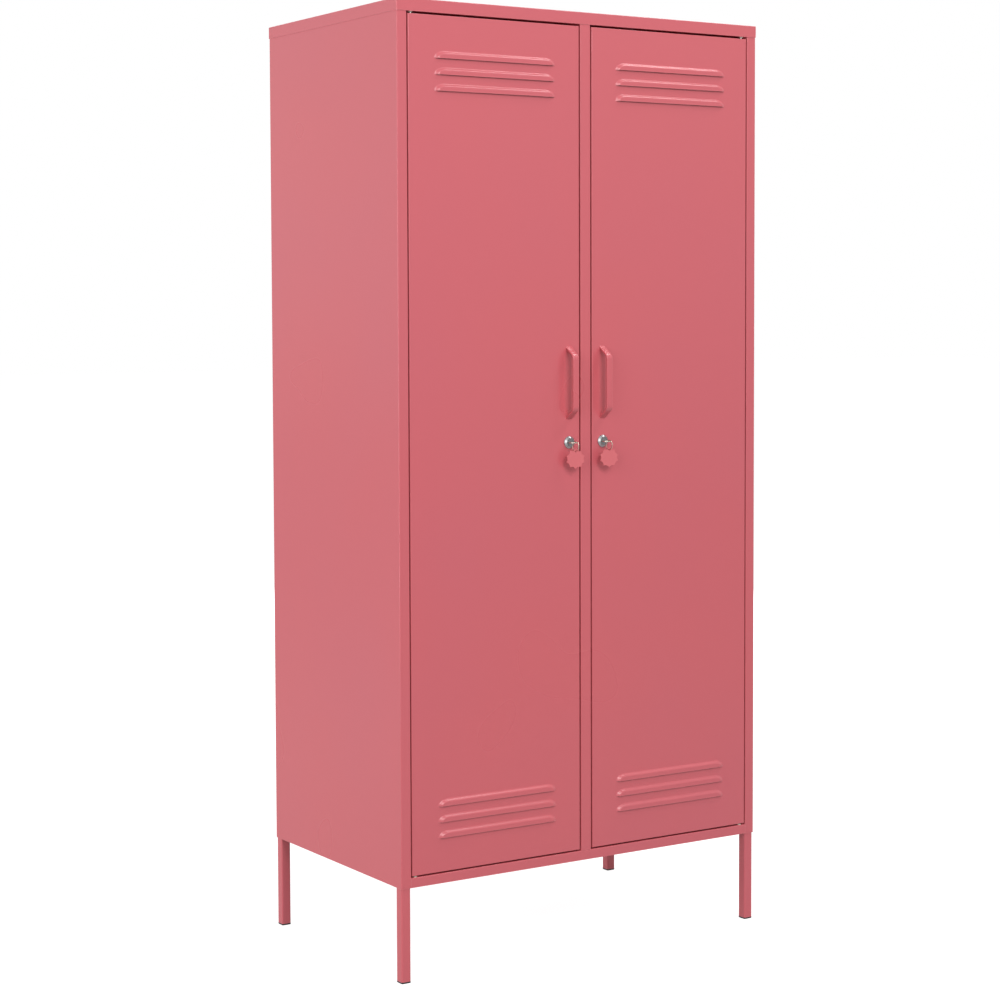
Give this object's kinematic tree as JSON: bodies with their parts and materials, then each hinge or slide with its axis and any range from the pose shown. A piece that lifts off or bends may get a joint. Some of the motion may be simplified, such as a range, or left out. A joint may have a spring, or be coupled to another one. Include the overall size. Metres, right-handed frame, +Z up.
{
  "type": "two-door locker cabinet",
  "caption": "Tall sheet-steel locker cabinet on slim square legs, with louvred doors, bow handles and cam locks with hanging key tags, opening on shelves and a hanging rail.",
  "frame": {"origin": "on the floor, at the middle of the cabinet's width and of its depth between the legs", "axes": "+X to the right seen from the front, +Y from the doors to the back, +Z up"},
  "size_m": [0.85, 0.5306, 1.83],
  "materials": {
    "coral_powder_coat": "satin powder coat",
    "black_plastic": "moulded",
    "zinc_steel": "zinc plated",
    "white_nylon": "moulded",
    "grey_rubber": "soft",
    "chrome": "bright chrome plate",
    "nickel_steel": "nickel plated",
    "coral_tag": "satin"
  },
  "bodies": {
    "carcass": {"top_panel": "coral_powder_coat", "bottom_panel": "coral_powder_coat", "left_side_panel": "coral_powder_coat", "right_side_panel": "coral_powder_coat", "back_panel_left": "coral_powder_coat", "back_panel_right": "coral_powder_coat", "centre_post": "coral_powder_coat", "partition_panel": "coral_powder_coat", "panel_rivets": "coral_powder_coat", "front_left_leg": "coral_powder_coat", "front_right_leg": "coral_powder_coat", "rear_left_leg": "coral_powder_coat", "rear_right_leg": "coral_powder_coat", "front_left_foot": "black_plastic", "front_right_foot": "black_plastic", "rear_left_foot": "black_plastic", "rear_right_foot": "black_plastic", "leg_bolts": "zinc_steel", "leg_nuts": "zinc_steel", "pivot_bushes": "white_nylon", "door_bumpers": "grey_rubber", "hat_shelf": "coral_powder_coat", "hanging_rail": "chrome", "rail_sockets": "chrome", "lower_shelf": "coral_powder_coat", "middle_shelf": "coral_powder_coat", "upper_shelf": "coral_powder_coat", "shelf_clips": "zinc_steel"},
    "left_door": {"left_door_skin": "coral_powder_coat", "left_door_stiffener": "coral_powder_coat", "left_door_pivot_plates": "zinc_steel", "left_door_pivot_pins": "zinc_steel", "left_handle": "coral_powder_coat", "left_handle_screws": "zinc_steel", "left_lock_barrel": "chrome", "left_lock_nut": "zinc_steel"},
    "left_lock": {"left_lock_plug": "chrome", "left_lock_cam": "zinc_steel", "left_cam_screw": "zinc_steel", "left_key": "nickel_steel"},
    "left_ring": {"left_key_ring": "nickel_steel"},
    "left_tag": {"left_key_tag": "coral_tag"},
    "right_door": {"right_door_skin": "coral_powder_coat", "right_door_stiffener": "coral_powder_coat", "right_door_pivot_plates": "zinc_steel", "right_door_pivot_pins": "zinc_steel", "right_handle": "coral_powder_coat", "right_handle_screws": "zinc_steel", "right_lock_barrel": "chrome", "right_lock_nut": "zinc_steel"},
    "right_lock": {"right_lock_plug": "chrome", "right_lock_cam": "zinc_steel", "right_cam_screw": "zinc_steel", "right_key": "nickel_steel"},
    "right_ring": {"right_key_ring": "nickel_steel"},
    "right_tag": {"right_key_tag": "coral_tag"}
  },
  "joints": [
    {"name": "left_door_hinge", "type": "hinge", "parent": "carcass", "child": "left_door", "pos_m": [-0.391, -0.243, 1], "axis": [0, 0, -1], "range_deg": [0, 110]},
    {"name": "left_lock_turn", "type": "hinge", "parent": "left_door", "child": "left_lock", "pos_m": [-0.04, -0.249, 1.00235], "axis": [0, 1, 0], "range_deg": [0, 90]},
    {"name": "left_ring_swing", "type": "hinge", "parent": "left_lock", "child": "left_ring", "pos_m": [-0.04, -0.2706, 1.00235], "axis": [-0.9962, -0.0872, 0], "range_deg": [-12, 30]},
    {"name": "left_tag_swing", "type": "hinge", "parent": "left_ring", "child": "left_tag", "pos_m": [-0.04, -0.2706, 0.98635], "axis": [-0.3746, -0.9272, 0], "range_deg": [-25, 25]},
    {"name": "right_door_hinge", "type": "hinge", "parent": "carcass", "child": "right_door", "pos_m": [0.391, -0.243, 1], "axis": [0, 0, 1], "range_deg": [0, 110]},
    {"name": "right_lock_turn", "type": "hinge", "parent": "right_door", "child": "right_lock", "pos_m": [0.04, -0.249, 1.00235], "axis": [0, -1, 0], "range_deg": [0, 90]},
    {"name": "right_ring_swing", "type": "hinge", "parent": "right_lock", "child": "right_ring", "pos_m": [0.04, -0.2706, 1.00235], "axis": [-0.9962, -0.0872, 0], "range_deg": [-12, 30]},
    {"name": "right_tag_swing", "type": "hinge", "parent": "right_ring", "child": "right_tag", "pos_m": [0.04, -0.2706, 0.98635], "axis": [-0.3746, -0.9272, 0], "range_deg": [-25, 25]}
  ]
}
